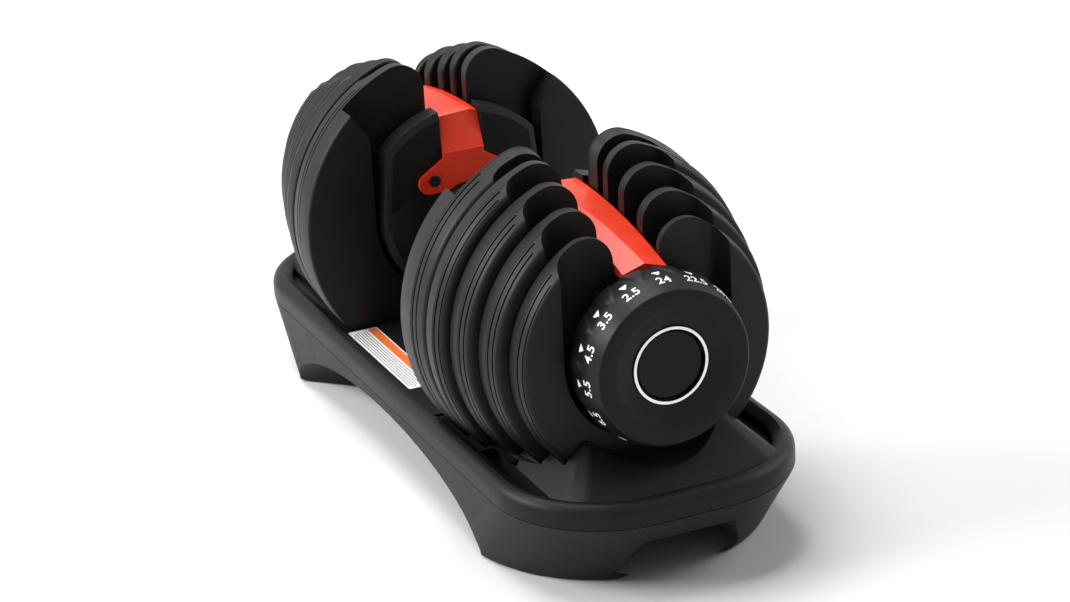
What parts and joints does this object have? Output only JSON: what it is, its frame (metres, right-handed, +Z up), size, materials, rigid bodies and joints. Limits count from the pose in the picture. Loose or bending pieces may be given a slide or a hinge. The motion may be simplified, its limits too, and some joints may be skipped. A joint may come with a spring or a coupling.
{
  "type": "adjustable dumbbell",
  "caption": "Dial-adjusted dumbbell with hooked weight plates, seated in its two-part storage tray.",
  "frame": {"origin": "on the floor, under the middle of the tray", "axes": "+X along the dumbbell, Y across it, +Z up"},
  "size_m": [0.458, 0.196, 0.211],
  "materials": {
    "tray_black": "satin moulded plastic with a fine grain",
    "foot_rubber": "matt rubber",
    "zinc_steel": "zinc-plated steel",
    "black_screw": "black oxide steel",
    "chrome_core": "polished",
    "grip_rubber": "soft-touch rubber",
    "guard_black": "satin moulded plastic",
    "bridge_red": "satin orange-red moulded plastic",
    "plate_black": "steel weight over-moulded in satin black plastic",
    "disc_steel": "pressed steel",
    "spacer_black": "moulded nylon",
    "dial_black": "satin moulded plastic",
    "ring_silver": "satin bright plating",
    "cap_black": "smooth plastic"
  },
  "bodies": {
    "tray": {"tray_top": "tray_black", "tray_base": "tray_black", "tray_feet": "foot_rubber", "tray_screws": "zinc_steel"},
    "handle": {"main_axle": "zinc_steel", "handle_core": "chrome_core", "grip_sleeve": "grip_rubber", "handle_collars": "guard_black", "guard_near": "guard_black", "guard_cover_near": "guard_black", "bridge_near": "bridge_red", "bridge_screws_near": "black_screw", "end_plate_near": "black_screw", "end_plate_screws_near": "black_screw", "lock_spring_near": "zinc_steel", "dial_screw_near": "zinc_steel", "guard_far": "guard_black", "guard_cover_far": "guard_black", "bridge_far": "bridge_red", "bridge_screws_far": "black_screw", "end_plate_far": "black_screw", "end_plate_screws_far": "black_screw", "lock_spring_far": "zinc_steel", "dial_screw_far": "zinc_steel"},
    "lock_near": {"lock_yoke_near": "zinc_steel"},
    "dial_near": {"dial_near": "dial_black", "dial_ring_near": "ring_silver", "dial_cap_near": "cap_black", "drive_tube_near": "disc_steel", "lock_ring_near": "disc_steel", "disc_spacers_near": "spacer_black", "selector_disc_near_1": "disc_steel", "selector_disc_near_2": "disc_steel", "selector_disc_near_3": "disc_steel", "selector_disc_near_4": "disc_steel", "selector_disc_near_5": "disc_steel"},
    "weight_near_1": {"plate_near_1": "plate_black"},
    "weight_near_2": {"plate_near_2": "plate_black"},
    "weight_near_3": {"plate_near_3": "plate_black"},
    "weight_near_4": {"plate_near_4": "plate_black"},
    "weight_near_5": {"plate_near_5": "plate_black"},
    "lock_far": {"lock_yoke_far": "zinc_steel"},
    "dial_far": {"dial_far": "dial_black", "dial_ring_far": "ring_silver", "dial_cap_far": "cap_black", "drive_tube_far": "disc_steel", "lock_ring_far": "disc_steel", "disc_spacers_far": "spacer_black", "selector_disc_far_1": "disc_steel", "selector_disc_far_2": "disc_steel", "selector_disc_far_3": "disc_steel", "selector_disc_far_4": "disc_steel", "selector_disc_far_5": "disc_steel"},
    "weight_far_1": {"plate_far_1": "plate_black"},
    "weight_far_2": {"plate_far_2": "plate_black"},
    "weight_far_3": {"plate_far_3": "plate_black"},
    "weight_far_4": {"plate_far_4": "plate_black"},
    "weight_far_5": {"plate_far_5": "plate_black"}
  },
  "joints": [
    {"name": "handle_lift", "type": "slide", "parent": "tray", "child": "handle", "axis": [0, 0, 1], "range_m": [0, 0.15]},
    {"name": "dial_near_turn", "type": "hinge", "parent": "handle", "child": "dial_near", "pos_m": [0.19, 0, 0.1205], "axis": [1, 0, 0], "continuous": true},
    {"name": "lock_near_drop", "type": "slide", "parent": "handle", "child": "lock_near", "axis": [0, 0, -1], "range_m": [0, 0.003]},
    {"name": "weight_near_1_lift", "type": "slide", "parent": "tray", "child": "weight_near_1", "axis": [0, 0, 1], "range_m": [0, 0.15]},
    {"name": "weight_near_2_lift", "type": "slide", "parent": "tray", "child": "weight_near_2", "axis": [0, 0, 1], "range_m": [0, 0.15]},
    {"name": "weight_near_3_lift", "type": "slide", "parent": "tray", "child": "weight_near_3", "axis": [0, 0, 1], "range_m": [0, 0.15]},
    {"name": "weight_near_4_lift", "type": "slide", "parent": "tray", "child": "weight_near_4", "axis": [0, 0, 1], "range_m": [0, 0.15]},
    {"name": "weight_near_5_lift", "type": "slide", "parent": "tray", "child": "weight_near_5", "axis": [0, 0, 1], "range_m": [0, 0.15]},
    {"name": "dial_far_turn", "type": "hinge", "parent": "handle", "child": "dial_far", "pos_m": [-0.19, 0, 0.1205], "axis": [1, 0, 0], "continuous": true},
    {"name": "lock_far_drop", "type": "slide", "parent": "handle", "child": "lock_far", "axis": [0, 0, -1], "range_m": [0, 0.003]},
    {"name": "weight_far_1_lift", "type": "slide", "parent": "tray", "child": "weight_far_1", "axis": [0, 0, 1], "range_m": [0, 0.15]},
    {"name": "weight_far_2_lift", "type": "slide", "parent": "tray", "child": "weight_far_2", "axis": [0, 0, 1], "range_m": [0, 0.15]},
    {"name": "weight_far_3_lift", "type": "slide", "parent": "tray", "child": "weight_far_3", "axis": [0, 0, 1], "range_m": [0, 0.15]},
    {"name": "weight_far_4_lift", "type": "slide", "parent": "tray", "child": "weight_far_4", "axis": [0, 0, 1], "range_m": [0, 0.15]},
    {"name": "weight_far_5_lift", "type": "slide", "parent": "tray", "child": "weight_far_5", "axis": [0, 0, 1], "range_m": [0, 0.15]}
  ],
  "couplings": [
    {"joint": "lock_near_drop", "follows": "handle_lift", "ratio": 0.02},
    {"joint": "weight_near_1_lift", "follows": "handle_lift", "ratio": 1},
    {"joint": "weight_near_2_lift", "follows": "handle_lift", "ratio": 1},
    {"joint": "weight_near_3_lift", "follows": "handle_lift", "ratio": 1},
    {"joint": "weight_near_4_lift", "follows": "handle_lift", "ratio": 1},
    {"joint": "weight_near_5_lift", "follows": "handle_lift", "ratio": 1},
    {"joint": "lock_far_drop", "follows": "handle_lift", "ratio": 0.02},
    {"joint": "weight_far_1_lift", "follows": "handle_lift", "ratio": 1},
    {"joint": "weight_far_2_lift", "follows": "handle_lift", "ratio": 1},
    {"joint": "weight_far_3_lift", "follows": "handle_lift", "ratio": 1},
    {"joint": "weight_far_4_lift", "follows": "handle_lift", "ratio": 1},
    {"joint": "weight_far_5_lift", "follows": "handle_lift", "ratio": 1}
  ]
}
